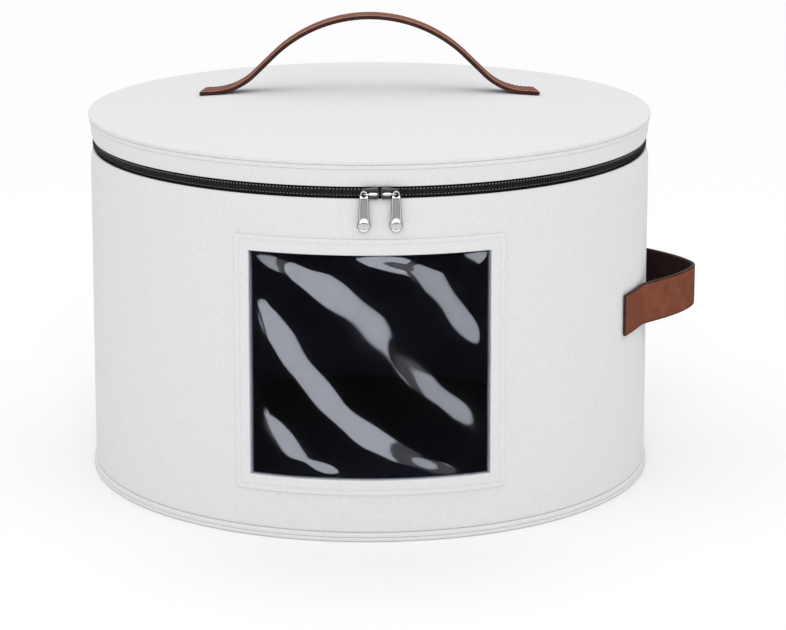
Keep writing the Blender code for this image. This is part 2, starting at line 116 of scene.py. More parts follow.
# Window
FILM_MARGIN = 0.0065           # how far the film reaches under the frame
PATCH_BAND = 0.0115            # width of the felt frame
PATCH_THICK = 0.0012
WINDOW_BOTTOM = low("window_frame").z + PATCH_BAND
WINDOW_TOP = high("window_frame").z - PATCH_BAND
WINDOW_HALF = (math.asin(high("window_film").x / (high("wall_felt").x - FILM_DEPTH))
               - FILM_MARGIN / WALL_TOP_RADIUS)
STITCH_INSET = 0.0037          # stitch row from the frame's outer edge
STITCH_PITCH = 0.004

# Zip
STOP_BEARING = math.radians(159.5)
TAPE_END = math.radians(164)
COIL_PITCH = 0.00125
COIL_WIRE = 0.00028            # radius of the coil's filament
COIL_DEEP, COIL_TALL = 0.00048, 0.00095    # half sizes of a coil's turn
COIL_OVERLAP = 0.00035         # how far each coil reaches past its CAD node's middle
TAPE_SEAM_OFFSET = 0.00135     # sewn row on the tape, from the coil's middle
TAPE_STITCH_PITCH = 0.0026


# ---------------------------------------------------------------- materials

def new_material(name, colour, roughness, metallic=0.0, **sockets):
    made = bpy.data.materials.new(name)
    made.use_nodes = True
    shader = made.node_tree.nodes["Principled BSDF"]
    shader.inputs["Base Color"].default_value = (*colour, 1.0)
    shader.inputs["Roughness"].default_value = roughness
    shader.inputs["Metallic"].default_value = metallic
    for socket, value in sockets.items():
        shader.inputs[socket.replace("_", " ")].default_value = value
    return made


def add_node(mat, kind, inputs=None, **settings):
    node = mat.node_tree.nodes.new(kind)
    for key, value in settings.items():
        setattr(node, key, value)
    for socket, value in (inputs or {}).items():
        if isinstance(value, bpy.types.NodeSocket):
            mat.node_tree.links.new(value, node.inputs[socket])
        else:
            node.inputs[socket].default_value = value
    return node


def noise_of(mat, scale, detail=3.0, stretch=(1, 1, 1), roughness=0.5):
    """A noise pattern fixed to the object, with scale in features per metre."""
    place = add_node(mat, "ShaderNodeTexCoord")
    mapping = add_node(mat, "ShaderNodeMapping",
                       {"Vector": place.outputs["Object"], "Scale": stretch})
    return add_node(mat, "ShaderNodeTexNoise", {
        "Vector": mapping.outputs["Vector"], "Scale": scale,
        "Detail": detail, "Roughness": roughness})


def cells_of(mat, scale, feature="F1"):
    place = add_node(mat, "ShaderNodeTexCoord")
    return add_node(mat, "ShaderNodeTexVoronoi",
                    {"Vector": place.outputs["Object"], "Scale": scale}, feature=feature)


def drive(mat, socket, output):
    shader = mat.node_tree.nodes["Principled BSDF"]
    mat.node_tree.links.new(output, shader.inputs[socket])


def colours_by(mat, factor, dark, light, start=0.3, end=0.7):
    """Drives the base colour from dark to light by a 0..1 pattern."""
    ramp = add_node(mat, "ShaderNodeValToRGB", {"Fac": factor})
    ramp.color_ramp.elements[0].position = start
    ramp.color_ramp.elements[1].position = end
    ramp.color_ramp.elements[0].color = (*dark, 1.0)
    ramp.color_ramp.elements[1].color = (*light, 1.0)
    drive(mat, "Base Color", ramp.outputs["Color"])


def roughness_by(mat, factor, smooth, rough):
    spread = add_node(mat, "ShaderNodeMapRange",
                      {"Value": factor, "To Min": smooth, "To Max": rough})
    drive(mat, "Roughness", spread.outputs["Result"])


def bumps(mat, *layers):
    """Chains height patterns, each (socket, strength, distance in metres), onto the normal."""
    below = None
    for height, strength, distance in layers:
        inputs = {"Height": height, "Strength": strength, "Distance": distance}
        if below:
            inputs["Normal"] = below
        below = add_node(mat, "ShaderNodeBump", inputs).outputs["Normal"]
    drive(mat, "Normal", below)


def felt_material(name, dark, light):
    """Pressed wool felt: matted fibres under a millimetre, small pills and a faint fine speckle."""
    made = new_material(name, light, 0.93, Sheen_Weight=0.08, Sheen_Roughness=0.5,
                        Specular_IOR_Level=0.3)
    speckle = noise_of(made, 700, 3.0, (1, 1, 0.5))
    fibres = noise_of(made, 1500, 5.0, (1, 1, 0.45), 0.65)
    crossed = noise_of(made, 1300, 4.0, (0.5, 0.5, 1.3), 0.6)
    pills = cells_of(made, 420)
    colours_by(made, speckle.outputs["Fac"], dark, light)
    bumps(made, (pills.outputs["Distance"], 0.10, 0.0006), (fibres.outputs["Fac"], 0.35, 0.0004),
          (crossed.outputs["Fac"], 0.30, 0.0004))
    return made


def lining_material():
    """Dark lining with a tight weave, faintly uneven in colour."""
    dark, light = (0.020, 0.021, 0.040), (0.032, 0.034, 0.058)
    made = new_material("dark_lining_weave", light, 0.75, Specular_IOR_Level=0.15)
    threads = noise_of(made, 2200, 2.0, (1, 1, 3))
    clouds = noise_of(made, 40, 2.0)
    colours_by(made, clouds.outputs["Fac"], dark, light)
    bumps(made, (threads.outputs["Fac"], 0.4, 0.0002))
    return made


def board_material():
    dark, light = (0.20, 0.19, 0.17), (0.38, 0.36, 0.33)
    made = new_material("grey_board_pulp", light, 0.85)
    flecks = noise_of(made, 900, 4.0)
    colours_by(made, flecks.outputs["Fac"], dark, light)
    bumps(made, (flecks.outputs["Fac"], 0.3, 0.0002))
    return made


def film_material():
    """Clear soft plastic with a cool tint and faint scuffs."""
    made = new_material("clear_film_plastic", (0.93, 0.95, 1.0), 0.035, IOR=1.52,
                        Transmission_Weight=1.0, Specular_IOR_Level=0.95)
    scuffs = noise_of(made, 60, 3.0, (1, 1, 0.3))
    roughness_by(made, scuffs.outputs["Fac"], 0.04, 0.11)
    return made


def leather_material(name, dark, light, roughness, grain=1.0):
    """Leather with a pebble grain of about 0.7 mm, creases and worn, lighter clouds."""
    made = new_material(name, light, roughness, Specular_IOR_Level=0.18)
    clouds = noise_of(made, 130, 4.0)
    pebbles = cells_of(made, 1500, "DISTANCE_TO_EDGE")
    creases = noise_of(made, 600, 4.0, (1, 1, 2.2))
    colours_by(made, clouds.outputs["Fac"], dark, light, 0.35, 0.65)
    roughness_by(made, creases.outputs["Fac"], roughness - 0.12, roughness + 0.14)
    bumps(made, (pebbles.outputs["Distance"], 0.5 * grain, 0.00025),
          (creases.outputs["Fac"], 0.35 * grain, 0.0002))
    return made


def thread_material(name, colour):
    made = new_material(name, colour, 0.6, Sheen_Weight=0.2)
    twist = noise_of(made, 2600, 2.0)
    bumps(made, (twist.outputs["Fac"], 0.4, 0.0001))
    return made


def tape_material():
    """Black woven zip tape: a fine rib, slightly faded along its threads."""
    dark, light = (0.002, 0.002, 0.003), (0.007, 0.007, 0.008)
    made = new_material("zip_tape_weave", light, 0.8, Specular_IOR_Level=0.15)
    ribs = noise_of(made, 2400, 2.0, (1, 1, 0.35))
    colours_by(made, ribs.outputs["Fac"], dark, light)
    bumps(made, (ribs.outputs["Fac"], 0.6, 0.0002))
    return made


def coil_material():
    made = new_material("zip_coil_nylon", (0.020, 0.020, 0.022), 0.30, Specular_IOR_Level=0.6)
    streaks = noise_of(made, 900, 2.0)
    roughness_by(made, streaks.outputs["Fac"], 0.2, 0.38)
    return made


def metal_material(name, colour, smooth, rough, stretch=(1, 1, 1), bump=0.05):
    """Nickel-plated zinc with fine scratches along one direction."""
    made = new_material(name, colour, smooth, 1.0)
    scratches = noise_of(made, 1400, 3.0, stretch)
    roughness_by(made, scratches.outputs["Fac"], smooth, rough)
    bumps(made, (scratches.outputs["Fac"], bump, 0.0001))
    return made


FELT_LOOK = felt_material("white_felt_fibres", (0.755, 0.755, 0.757), (0.805, 0.805, 0.807))
LINING_LOOK = lining_material()
BOARD_LOOK = board_material()
FILM_LOOK = film_material()
FACE_LOOK = leather_material("leather_face", (0.205, 0.058, 0.027), (0.245, 0.074, 0.036), 0.56)
EDGE_LOOK = leather_material("leather_painted_edge",
                             (0.036, 0.012, 0.008), (0.065, 0.022, 0.014), 0.45, 0.4)
# painted highlight: a lighter tan on the ridge between the handle's crease and its edge
RIDGE_HIGHLIGHT_LOOK = leather_material("leather_creased_line",
                             (0.34, 0.16, 0.11), (0.46, 0.25, 0.18), 0.5, 0.5)
BACK_LOOK = leather_material("leather_back",
                             (0.008, 0.003, 0.002), (0.016, 0.006, 0.004), 0.8, 0.7)
WHITE_THREAD = thread_material("white_thread", (0.80, 0.80, 0.81))
BROWN_THREAD = thread_material("brown_thread", (0.13, 0.050, 0.032))
# a sewn thread whose light grey is painted highlight, standing in for the glints on the coil's turns
TAPE_THREAD_WITH_HIGHLIGHT_SPECKS = thread_material("grey_tape_thread", (0.36, 0.36, 0.37))
TAPE_LOOK = tape_material()
COIL_LOOK = coil_material()
NICKEL_LOOK = metal_material("nickel_polished", (0.80, 0.80, 0.81), 0.10, 0.22)
# dark nickel for the slider plates; on the pullers the same look is painted shade along the edges
DARK_NICKEL_LOOK = metal_material("nickel_black_plated", (0.085, 0.080, 0.078), 0.12, 0.28)
BRUSHED_LOOK = metal_material("nickel_brushed",
                              (0.36, 0.36, 0.365), 0.30, 0.45, (1, 1, 0.15), 0.4)


# ---------------------------------------------------------------- mesh helpers

def show(name, data):
    """A new object of that mesh, light or camera, linked into the scene."""
    made = bpy.data.objects.new(name, data)
    bpy.context.scene.collection.objects.link(made)
    return made


def finish_mesh(name, bm, mesh, sharp):
    """Turns the faces outwards, shades them smooth up to the sharp angle and shows the mesh."""
    bmesh.ops.recalc_face_normals(bm, faces=bm.faces)
    bm.to_mesh(mesh)
    bm.free()
    mesh.shade_smooth()
    mesh.set_sharp_from_angle(angle=math.radians(sharp))
    return show(name, mesh)


def new_piece(name, verts, faces, looks, look_of_face=None, sharp=40):
    """A closed mesh object made from vertices and faces."""
    mesh = bpy.data.meshes.new(name)
    mesh.from_pydata([tuple(v) for v in verts], [], faces)
    for look in looks:
        mesh.materials.append(look)
    if look_of_face is not None:
        mesh.polygons.foreach_set("material_index", look_of_face)
    bm = bmesh.new()
    bm.from_mesh(mesh)
    return finish_mesh(name, bm, mesh, sharp)


def settle(piece, body, slot, *nodes):
    """Puts a finished piece on its body and hides the CAD nodes that it stands for. The slot is not
    used.
    """
    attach(piece, body)
    if nodes:
        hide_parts(*nodes)


def around(radius, bearing, z):
    return Vector((radius * math.sin(bearing), -radius * math.cos(bearing), z))


def wall_radius(z):
    return WALL_TOP_RADIUS + WALL_TAPER * max(0.0, 1.0 - z / ZIP_HEIGHT)


def lid_height(radius):
    """Height of the lid's outer face: a low dome inside a flat rim."""
    return BODY_HEIGHT + (LID_TOP - BODY_HEIGHT) * max(0.0, 1.0 - (radius / LID_FLAT) ** 2)


def smooth(x):
    x = min(1.0, max(0.0, x))
    return x * x * (3 - 2 * x)


def sway(bearing, z):
    """The slight unevenness of soft sheets round the box, fading out at the zip and the base."""
    size, twists, rises, edge = 0.00022, 2.2, 9, 0.02
    fade = smooth((z - WALL_BOTTOM) / edge) * smooth((WALL_TOP - z) / edge)
    spot = Vector((math.sin(bearing) * twists, math.cos(bearing) * twists, z * rises))
    return size * fade * noise.noise(spot) * 2


def arc_points(centre, radius, start, end, count):
    """Points of an arc in a (radius, height) outline; angles in degrees from +radius, upward."""
    points = []
    for i in range(count + 1):
        a = math.radians(start + (end - start) * i / count)
        points.append((centre[0] + radius * math.cos(a), centre[1] + radius * math.sin(a)))
    return points


def ring_faces(rings, count, start=0, closed=False):
    """Quads between rings of count vertices each, then a cap on each end unless closed."""
    faces = []
    for i in range(rings if closed else rings - 1):
        one, two = start + i * count, start + (i + 1) % rings * count
        for k in range(count):
            after = (k + 1) % count
            faces.append((one + k, one + after, two + after, two + k))
    if not closed:
        last = start + (rings - 1) * count
        faces += [tuple(range(start, start + count)), tuple(range(last, last + count))]
    return faces


def turned(name, outline, look, start=0.0, end=FULL_TURN, steps=RING_STEPS):
    """Turns a closed (radius, height) outline round Z, all the way or between two bearings."""
    whole = end - start > FULL_TURN - 1e-6
    rows = steps if whole else steps + 1
    verts = []
    for i in range(rows):
        bearing = start + (end - start) * i / steps
        verts += [around(r, bearing, z) for r, z in outline]
    return new_piece(name, verts, ring_faces(rows, len(outline), closed=whole), [look])


def turned_disc(name, outline, look, lift=lambda x, y: 0.0):
    """Turns an open (radius, height) outline whose ends lie on the axis. lift(x, y) moves it up."""
    steps = RING_STEPS
    ends = [Vector((0, 0, z + lift(0, 0))) for _, z in (outline[0], outline[-1])]
    verts, faces = list(ends), []
    inner = outline[1:-1]
    count = len(inner)
    for i in range(steps):
        for r, z in inner:
            point = around(r, FULL_TURN * i / steps, z)
            point.z += lift(point.x, point.y)
            verts.append(point)
    for i in range(steps):
        one, two = 2 + i * count, 2 + (i + 1) % steps * count
        faces += [(0, one, two), (1, two + count - 1, one + count - 1)]
        faces += [(one + k, one + k + 1, two + k + 1, two + k) for k in range(count - 1)]
    return new_piece(name, verts, faces, [look])


def shell(name, us, vs, outer, inner, look, wrap=False, hole=None):
    """A closed sheet between two surfaces over a grid, with the cells where hole(u, v) left out."""
    columns = len(us) if wrap else len(us) - 1
    verts, faces, index = [], [], {}

    def vert(i, j, side):
        key = (i % len(us), j, side)
        if key not in index:
            index[key] = len(verts)
            verts.append((outer if side else inner)(us[key[0]], vs[j]))
        return index[key]

    def kept(i, j):
        if not 0 <= j < len(vs) - 1 or not (wrap or 0 <= i < columns):
            return False
        if hole is None:
            return True
        here, after = us[i % len(us)], us[(i + 1) % len(us)]
        middle = (here + after) / 2 if after > here else here + 1e-4
        return not hole(middle, (vs[j] + vs[j + 1]) / 2)

    for i in range(columns):
        for j in range(len(vs) - 1):
            if not kept(i, j):
                continue
            ring = ((i, j), (i + 1, j), (i + 1, j + 1), (i, j + 1))
            faces.append([vert(*c, 1) for c in ring])
            faces.append([vert(*c, 0) for c in reversed(ring)])
            beside = ((i, j - 1), (i + 1, j), (i, j + 1), (i - 1, j))
            for k, cell in enumerate(beside):
                if not kept(*cell):
                    one, two = ring[k], ring[(k + 1) % 4]
                    faces.append([vert(*one, 0), vert(*two, 0), vert(*two, 1), vert(*one, 1)])
    return new_piece(name, verts, faces, [look])


def tube(points, radius, sides, sideways):
    """Vertices of a round tube along points; sideways gives a direction across each point."""
    verts = []
    count = len(points)
    for i, here in enumerate(points):
        along = (points[min(i + 1, count - 1)] - points[max(i - 1, 0)]).normalized()
        one = sideways[i] - along * sideways[i].dot(along)
        one.normalize()
        two = along.cross(one)
        for k in range(sides):
            a = FULL_TURN * k / sides
            verts.append(here + one * (radius * math.cos(a)) + two * (radius * math.sin(a)))
    return verts


def stitches(name, spots, look, length, radius, rise):
    """One thread capsule for each (middle, direction along, direction out), bowed out of its sheet."""
    verts, faces = [], []
    stations, sides = 7, 6
    for middle, along, out in spots:
        across = along.cross(out).normalized()
        faces += ring_faces(stations, sides, len(verts))
        for i in range(stations):
            share = -1 + 2 * i / (stations - 1)
            bow = rise * (1 - share * share) - radius * 0.4
            here = middle + along * (share * length / 2) + out * bow
            thin = radius * math.sqrt(max(0.06, 1 - share ** 4))
            for k in range(sides):
                a = FULL_TURN * k / sides
                verts.append(here + across * (thin * math.cos(a)) + out * (thin * math.sin(a)))
    return new_piece(name, verts, faces, [look], sharp=80)


def level_stitch(radius, bearing, z):
    """A stitch's place on a round sheet: its middle, the way it runs and the way out."""
    return around(radius, bearing, z), around(1, bearing + math.pi / 2, 0), around(1, bearing, 0)


def spread(start, end, count):
    return [start + (end - start) * i / count for i in range(count + 1)]


# ---------------------------------------------------------------- wall and window

SHOULDER = 0.0105              # the wall's rounded top edge
TUCK = 0.0016                  # its rounded foot
REBATE = FILM_MARGIN + 2 * GAP    # the recess round the window that the film lies in
REBATE_STEP = 0.00005


def wall_depth(z):
    """How far the wall's outer face curves inwards near the zip and tucks in at the base."""
    from_top = max(0.0, SHOULDER - (WALL_TOP - z)) / SHOULDER
    from_foot = max(0.0, TUCK - (z - WALL_BOTTOM)) / TUCK
    return 0.0017 * from_top ** 2.6 + 0.0004 * from_foot ** 2


def back_seam(bearing):
    """A shallow valley where the wall's two ends meet at the back."""
    across = (abs(bearing) - math.pi) * WALL_TOP_RADIUS
    return 0.0007 * math.exp(-(across / 0.0009) ** 2)


def window_edge(bearing, z, margin):
    """Distance outside the window's opening grown by the margin; negative inside it."""
    side = (abs(bearing) - WINDOW_HALF) * WALL_TOP_RADIUS
    return max(side, WINDOW_BOTTOM - z, z - WINDOW_TOP) - margin


def over_window(bearing, z):
    return window_edge(bearing, z, 0.0) < 0


def wall_grid():
    """Bearings and heights of the wall's mesh, with lines at the seam, window, rebate and edges."""
    rebate_half = WINDOW_HALF + REBATE / WALL_TOP_RADIUS
    us = set(spread(-math.pi, math.pi, RING_STEPS)[:-1])
    us |= {s * (math.pi - k * 0.0016) for s in (-1, 1) for k in (1, 2, 3, 4, 5, 6)}
    us |= {s * u for s in (-1, 1)
           for u in (WINDOW_HALF, rebate_half, rebate_half + REBATE_STEP / WALL_TOP_RADIUS)}
    vs = set(spread(WALL_BOTTOM + TUCK, WALL_TOP - SHOULDER, 60))
    vs |= set(spread(WALL_BOTTOM, WALL_BOTTOM + TUCK, 4))
    vs |= set(spread(WALL_TOP - SHOULDER, WALL_TOP, 12))
    vs |= {WINDOW_BOTTOM, WINDOW_TOP, WINDOW_BOTTOM - REBATE, WINDOW_TOP + REBATE}
    vs |= {WINDOW_BOTTOM - REBATE - REBATE_STEP, WINDOW_TOP + REBATE + REBATE_STEP}
    return sorted(us), sorted(vs)


def make_wall():
    def outer(u, z):
        in_rebate = window_edge(u, z, REBATE) < REBATE_STEP / 4
        rebated = FILM_DEPTH + FILM_THICK + GAP if in_rebate else 0.0
        return around(wall_radius(z) - max(wall_depth(z) + back_seam(u), rebated) + sway(u, z), u, z)

    def inner(u, z):
        return around(wall_radius(z) - FELT + sway(u, z), u, z)

    felt = shell("felt_wall", *wall_grid(), outer, inner, FELT_LOOK, True, over_window)
    settle(felt, BOX, "white_felt", "wall_felt")


def make_wall_lining():
    us = sorted(set(spread(-math.pi, math.pi, 144)[:-1]) | {-WINDOW_HALF, WINDOW_HALF})
    vs = set(spread(high("base_lining").z, high("wall_lining").z, 24))
    lining = shell("cloth_wall_lining", us, sorted(vs | {WINDOW_BOTTOM, WINDOW_TOP}),
                   lambda u, z: around(wall_radius(z) - LINING_DEPTH, u, z),
                   lambda u, z: around(wall_radius(z) - LINING_DEPTH - LINING, u, z),
                   LINING_LOOK, True, over_window)
    settle(lining, BOX, "dark_lining", "wall_lining")


def edge_steps(inner, outer):
    """Grid offsets across a sheet's margin, dense at both edges and at the stitch row."""
    span = outer - inner
    from_outer = [0, 0.0001, 0.0003, 0.0006, 0.001, 0.0018, 0.0029,
                  0.0033, 0.0037, 0.0041, 0.0045, 0.006, 0.008]
    from_inner = [0, 0.0001, 0.0003, 0.0006, 0.001]
    return sorted({outer - d for d in from_outer if d < span} | {inner + d for d in from_inner})


def frame_swell(bearing, z):
    """Thickness of the window's frame: rounded edges, a raised outer lip and a sunken stitch row."""
    inside = window_edge(bearing, z, 0.0)
    outside = PATCH_BAND - inside
    if outside <= 0 or inside <= 0:
        return 0.00005
    rounded = math.sqrt(1 - (1 - min(outside / 0.0008, 1)) ** 2)
    rounded *= math.sqrt(1 - (1 - min(inside / 0.0008, 1)) ** 2)
    lip = 0.00022 * math.exp(-((outside - 0.0013) / 0.0008) ** 2)
    channel = 0.00045 * math.exp(-((outside - STITCH_INSET) / 0.0006) ** 2)
    return max(0.00005, PATCH_THICK * rounded + lip - channel)


def frame_radius(bearing, z):
    return wall_radius(z) + GAP + sway(bearing, z) + frame_swell(bearing, z)


def make_window_frame():
    half = WINDOW_HALF * WALL_TOP_RADIUS
    side = edge_steps(half, half + PATCH_BAND)
    us = {s * x / WALL_TOP_RADIUS for s in (-1, 1) for x in side}
    us |= set(spread(-WINDOW_HALF, WINDOW_HALF, 60))
    vs = {WINDOW_BOTTOM - x for x in edge_steps(0, PATCH_BAND)}
    vs |= {WINDOW_TOP + x for x in edge_steps(0, PATCH_BAND)}
    vs |= set(spread(WINDOW_BOTTOM, WINDOW_TOP, 48))
    piece = shell("felt_window_frame", sorted(us), sorted(vs),
                  lambda u, z: around(frame_radius(u, z), u, z),
                  lambda u, z: around(wall_radius(z) + GAP + sway(u, z) - 0.0001, u, z),
                  FELT_LOOK, False, over_window)
    settle(piece, BOX, "white_felt", "window_frame")


def make_window_stitches():
    """Four rows along the frame's sunken line."""
    inset = PATCH_BAND - STITCH_INSET
    half = WINDOW_HALF + inset / WALL_TOP_RADIUS
    foot, top = WINDOW_BOTTOM - inset, WINDOW_TOP + inset
    spots = []
    across = round(2 * half * WALL_TOP_RADIUS / STITCH_PITCH)
    for i in range(across):
        u = -half + 2 * half * (i + 0.5) / across
        spots += [level_stitch(frame_radius(u, z), u, z) for z in (foot, top)]
    rows = round((top - foot) / STITCH_PITCH)
    for i in range(rows):
        z = foot + (top - foot) * (i + 0.5) / rows
        for u in (-half, half):
            middle, _, out = level_stitch(frame_radius(u, z), u, z)
            spots.append((middle, Vector((0, 0, 1)), out))
    made = stitches("window_stitches", spots, WHITE_THREAD, 0.0032, 0.00034, 0.00035)
    settle(made, BOX, "white_felt")


def film_wave(bearing, z):
    """Outward swell of the slack film: diagonal ripples that die out at the sewn edges."""
    inside = -window_edge(bearing, z, 0.0)
    fade = smooth(inside / 0.014)
    x, y = bearing * WALL_TOP_RADIUS, z - (WINDOW_BOTTOM + WINDOW_TOP) / 2
    bend = 0.012 * noise.noise(Vector((x * 13, y * 13, 1.7)))
    across = (x * 0.62 + y * 0.78) + bend
    along = x * 0.78 - y * 0.62
    ripple = math.sin(FULL_TURN * across / 0.054 + 0.9 + 8 * along)
    strength = 0.0021 * (1 + 0.7 * noise.noise(Vector((across * 16, along * 12, 8.5))))
    swell = noise.noise(Vector((across * 24, along * 10, 4.2)))
    cross_ripple = math.sin(FULL_TURN * along / 0.043 + 2.0)
    return fade * (strength * ripple + 0.0014 * swell + 0.00018 * cross_ripple)


def make_film():
    half = WINDOW_HALF + FILM_MARGIN / WALL_TOP_RADIUS
    us = spread(-half, half, 150)
    vs = spread(WINDOW_BOTTOM - FILM_MARGIN, WINDOW_TOP + FILM_MARGIN, 150)

    def face(depth):
        return lambda u, z: around(wall_radius(z) - depth + sway(u, z) + film_wave(u, z), u, z)

    film = shell("clear_window_film", us, vs,
                 face(FILM_DEPTH), face(FILM_DEPTH + FILM_THICK), FILM_LOOK)
    settle(film, BOX, "clear_film", "window_film")


# ---------------------------------------------------------------- base, lid and linings

HEM_EASE = 0.0002              # how far a hem laps its neighbours
LINING_REACH = 0.0006          # how far the flat linings run past their CAD nodes


def rolled(outside, width, bottom, top, low_bend, high_bend, top_steps):
    """Outline of a felt strip's edge, width deep, with two rounded corners on its outside."""
    return ([(outside - width, bottom)]
            + arc_points((outside - low_bend, bottom + low_bend), low_bend, -90, 0, 5)
            + arc_points((outside - high_bend, top - high_bend), high_bend, 0, 90, top_steps)
            + [(outside - width, top)])


def make_base():
    edge = 0.0012
    felt = [(0, 0), (BASE_RADIUS - edge, 0)]
    felt += arc_points((BASE_RADIUS - edge, edge), edge, -90, 0, 5)
    felt += arc_points((BASE_RADIUS - edge, FELT - edge), edge, 0, 90, 5) + [(0, FELT)]
    settle(turned_disc("felt_base", felt, FELT_LOOK), BOX, "white_felt", "base_felt")
    hem = rolled(BASE_RADIUS - HEM_EASE, 0.003, low("base_hem").z - HEM_EASE, high("base_hem").z,
                 0.0007, 0.0014, 6)
    settle(turned("felt_base_hem", hem, FELT_LOOK), BOX, "white_felt", "base_hem")
    flat, rise = high("base_lining").x + LINING_REACH, low("base_lining").z
    lining = [(0, rise), (flat - 0.0004, rise), (flat, rise + 0.0003), (flat, rise + 0.0007),
              (flat - 0.0004, rise + LINING), (0, rise + LINING)]
    settle(turned_disc("cloth_base_lining", lining, LINING_LOOK), BOX, "dark_lining", "base_lining")


def lid_unevenness(x, y):
    """Low waves of the lid's felt, fading out towards its rim."""
    fade = smooth((LID_FLAT - math.hypot(x, y)) / 0.05)
    return 0.0003 * fade * noise.noise(Vector((x * 16, y * 16, 7.0)))


def domed(drop, thick, edge, steps):
    radii = spread(0, edge, steps)
    return ([(r, lid_height(r) - drop - thick) for r in radii]
            + [(r, lid_height(r) - drop) for r in reversed(radii)])


def make_lid():
    sheet = domed(0.0, FELT, LID_FLAT, 24)
    middle = len(sheet) // 2
    under, bend = BODY_HEIGHT - FELT, 0.0010
    lip = [(RIM_RADIUS - bend - 0.001, under)]
    lip += arc_points((RIM_RADIUS - bend, under + bend), bend, -90, 0, 6)
    lip += arc_points((RIM_RADIUS - bend, BODY_HEIGHT - bend), bend, 0, 90, 6)
    felt = turned_disc("felt_lid", sheet[:middle] + lip + sheet[middle:], FELT_LOOK, lid_unevenness)
    settle(felt, LID, "white_felt", "lid_felt")
    hem = rolled(RIM_RADIUS - 0.0006, 0.0031, low("lid_hem").z - HEM_EASE, high("lid_hem").z + HEM_EASE,
                 0.0009, 0.0009, 5)
    settle(turned("felt_lid_hem", hem, FELT_LOOK), LID, "white_felt", "lid_hem")
    inner, tuck = WALL_TOP_RADIUS - FELT, 0.0016
    band = [(inner, BAND_BOTTOM), (WALL_TOP_RADIUS - 0.0021, BAND_BOTTOM)]
    band += [(WALL_TOP_RADIUS - 0.0001 - tuck * (1 - t) ** 2.4,
              BAND_BOTTOM + (BAND_TOP - BAND_BOTTOM) * t) for t in spread(0.0, 1.0, 12)]
    band += [(inner, BAND_TOP)]
    settle(turned("felt_lid_band", band, FELT_LOOK), LID, "white_felt", "lid_band")


def make_lid_linings():
    sheet = domed(FELT + 0.0015 + 2 * GAP, LINING, high("lid_lining").x + LINING_REACH, 16)
    settle(turned_disc("cloth_lid_lining", sheet, LINING_LOOK), LID, "dark_lining", "lid_lining")
    outside, foot = WALL_TOP_RADIUS - BOARD_DEPTH - TAPE - GAP, low("lid_band_lining").z
    band = [(outside, foot + 0.0004), (outside, BAND_TOP), (outside - LINING, BAND_TOP),
            (outside - LINING, foot + 0.0004), (outside - LINING / 2, foot)]
    settle(turned("cloth_band_lining", band, LINING_LOOK), LID, "dark_lining", "lid_band_lining")


def make_hinge_cloth():
    """The felt hinge at the back, one piece from the box to the lid, tucked behind the tapes' ends."""
    half, tucked = math.radians(16.4), math.radians(16)
    us = [math.pi + u for u in spread(-half, half, 48)]
    foot, top = low("lower_hinge_cloth").z + 0.0002, high("upper_hinge_cloth").z - 0.0002
    vs = spread(foot, top, 30)

    def depth(u, z):
        behind = smooth((abs(u - math.pi) - tucked + math.radians(1.4)) / math.radians(1.3))
        groove = 0.0003 * math.exp(-((z - ZIP_HEIGHT) / 0.0012) ** 2)
        return BOARD_DEPTH + 0.00005 + 0.00075 * behind + groove

    cloth = shell("felt_hinge", us, vs, lambda u, z: around(WALL_TOP_RADIUS - depth(u, z), u, z),
                  lambda u, z: around(WALL_TOP_RADIUS - depth(u, z) - 0.0006, u, z), FELT_LOOK)
    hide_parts("lower_hinge_cloth", "upper_hinge_cloth")
    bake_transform(cloth)


# ---------------------------------------------------------------- zip

def make_tape(body, node):
    radius, edge = WALL_TOP_RADIUS - BOARD_DEPTH, 0.0002
    bottom, top = low(node).z, high(node).z
    outline = [(radius - 0.0001, bottom), (radius, bottom + edge), (radius, (bottom + top) / 2),
               (radius, top - edge), (radius - 0.0001, top), (radius - TAPE + 0.0001, top),
               (radius - TAPE, top - edge), (radius - TAPE, bottom + edge),
               (radius - TAPE + 0.0001, bottom)]
    tape = turned("woven_" + node, outline, TAPE_LOOK, -TAPE_END, TAPE_END)
    settle(tape, body, "zip_tape", node)


def make_coil(side, body, node, middle):
    """A nylon coil, drawn as one filament of round turns."""
    radius = (high(node).x + WALL_TOP_RADIUS - BOARD_DEPTH) / 2 + 0.0001
    per_turn, sides = 8, 5
    count = round(2 * STOP_BEARING * WALL_TOP_RADIUS / COIL_PITCH) * per_turn
    points, sideways = [], []
    for i in range(count + 1):
        bearing = -STOP_BEARING + 2 * STOP_BEARING * i / count
        a = FULL_TURN * i / per_turn + (math.pi if side > 0 else 0.0)
        points.append(around(radius + COIL_DEEP * math.sin(a), bearing,
                             middle + COIL_TALL * math.cos(a)))
        sideways.append(around(1, bearing + math.pi / 2, 0))
    coil = new_piece("nylon_" + node, tube(points, COIL_WIRE, sides, sideways),
                     ring_faces(count + 1, sides), [COIL_LOOK], sharp=100)
    settle(coil, body, "zip_teeth", node)


def make_zip_half(side, body, prefix):
    """One tape, its coil and its sewn row. side is -1 below the teeth and 1 above."""
    make_tape(body, prefix + "_zip_tape")
    coil = prefix + "_zip_coil"
    middle = (low(coil).z + high(coil).z) / 2 - side * COIL_OVERLAP
    make_coil(side, body, coil, middle)
    count = round(2 * STOP_BEARING * WALL_TOP_RADIUS / TAPE_STITCH_PITCH)
    spots = [level_stitch(WALL_TOP_RADIUS - BOARD_DEPTH,
                          -STOP_BEARING + 2 * STOP_BEARING * (i + 0.5) / count,
                          middle + side * TAPE_SEAM_OFFSET) for i in range(count)]
    # the sewn row's light grey stands in for the coil's highlight specks
    row = stitches("thread_" + prefix + "_tape", spots, TAPE_THREAD_WITH_HIGHLIGHT_SPECKS, 0.0015, 0.00036, 0.0003)
    settle(row, body, "zip_tape")


